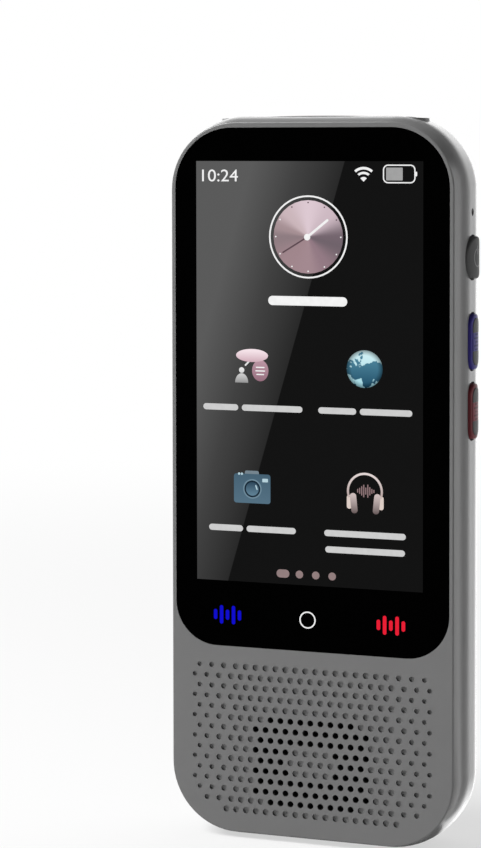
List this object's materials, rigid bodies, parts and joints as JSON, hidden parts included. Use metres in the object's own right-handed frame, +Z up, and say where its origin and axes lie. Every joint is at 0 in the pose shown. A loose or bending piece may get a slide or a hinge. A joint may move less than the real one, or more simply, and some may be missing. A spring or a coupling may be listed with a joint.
{
  "type": "handheld translator",
  "caption": "Upright pocket translator: glass screen over a drilled speaker panel, rear camera and sprung keys on the right side.",
  "frame": {"origin": "middle of the foot that the device stands on, at the lowest point of its lower end", "axes": "+Z up the device's length, +Y from the glass front towards the rear cover, +X to the side with the keys"},
  "size_m": [0.0574, 0.015, 0.1337],
  "materials": {
    "housing_grey": "bead-blasted grey, satin",
    "cover_grey": "metallic grey paint, satin",
    "plate_grey": "light grey, satin",
    "copper": "bare",
    "glass_black": "black behind polished glass",
    "adhesive": "matt",
    "display_glass": "polished",
    "backlight_white": "white",
    "flex_amber": "satin",
    "connector_black": "matt",
    "connector_white": "matt",
    "frame_metal": "cast, matt",
    "battery_pouch": "foil laminate",
    "board_green": "solder mask",
    "lead_red": "insulated wire",
    "screw_steel": "plated",
    "chip_black": "moulded",
    "shield_steel": "tinned",
    "switch_steel": "stamped",
    "key_grey": "dark grey, satin",
    "key_blue": "clear-coated blue",
    "glow_blue": "violet-blue",
    "key_red": "clear-coated red",
    "glow_red": "rose red",
    "boot_rubber": "matt",
    "ring_black": "black, turned",
    "barrel_black": "gloss black",
    "lens_glass": "coated",
    "foam_black": "foam",
    "mesh_black": "fine weave",
    "speaker_plastic": "moulded",
    "cone_grey": "film",
    "magnet_iron": "plated",
    "brass_contact": "gilt",
    "port_steel": "plated"
  },
  "bodies": {
    "housing": {"front_housing": "housing_grey", "rear_cover": "cover_grey", "top_plate": "plate_grey", "antenna_strip": "copper", "cover_glass": "glass_black", "glass_adhesive": "adhesive", "display_panel": "display_glass", "display_backlight": "backlight_white", "display_flex": "flex_amber", "display_connector": "connector_black", "mid_frame": "frame_metal", "battery_tape": "adhesive", "battery": "battery_pouch", "battery_board": "board_green", "battery_plug": "connector_white", "battery_lead": "lead_red", "main_board": "board_green", "board_screws": "screw_steel", "processor": "chip_black", "processor_shield": "shield_steel", "radio_shield": "shield_steel", "lower_board": "board_green", "lower_board_screws": "screw_steel", "board_link_flex": "flex_amber", "power_switch": "switch_steel", "blue_key_switch": "switch_steel", "red_key_switch": "switch_steel", "side_key_board": "board_green", "key_bracket": "frame_metal", "side_microphone": "shield_steel", "microphone_boot": "boot_rubber", "camera_ring": "ring_black", "camera_barrel": "barrel_black", "camera_lens": "lens_glass", "camera_module": "chip_black", "camera_foam": "foam_black", "grille_mesh": "mesh_black", "speaker_gasket": "foam_black", "speaker_frame": "speaker_plastic", "speaker_cone": "cone_grey", "speaker_magnet": "magnet_iron", "speaker_contacts": "brass_contact", "usb_c_shell": "port_steel", "usb_c_tongue": "connector_black"},
    "power_key": {"power_key": "key_grey"},
    "blue_key": {"blue_key_body": "key_blue", "blue_key_face": "key_grey", "blue_key_window": "glow_blue"},
    "red_key": {"red_key_body": "key_red", "red_key_face": "key_grey", "red_key_window": "glow_red"}
  },
  "joints": [
    {"name": "power_key_press", "type": "slide", "parent": "housing", "child": "power_key", "axis": [-1, 0, 0], "range_m": [0, 0.00045], "stiffness_N_per_m": 1200},
    {"name": "blue_key_press", "type": "slide", "parent": "housing", "child": "blue_key", "axis": [-1, 0, 0], "range_m": [0, 0.00045], "stiffness_N_per_m": 1200},
    {"name": "red_key_press", "type": "slide", "parent": "housing", "child": "red_key", "axis": [-1, 0, 0], "range_m": [0, 0.00045], "stiffness_N_per_m": 1200}
  ]
}
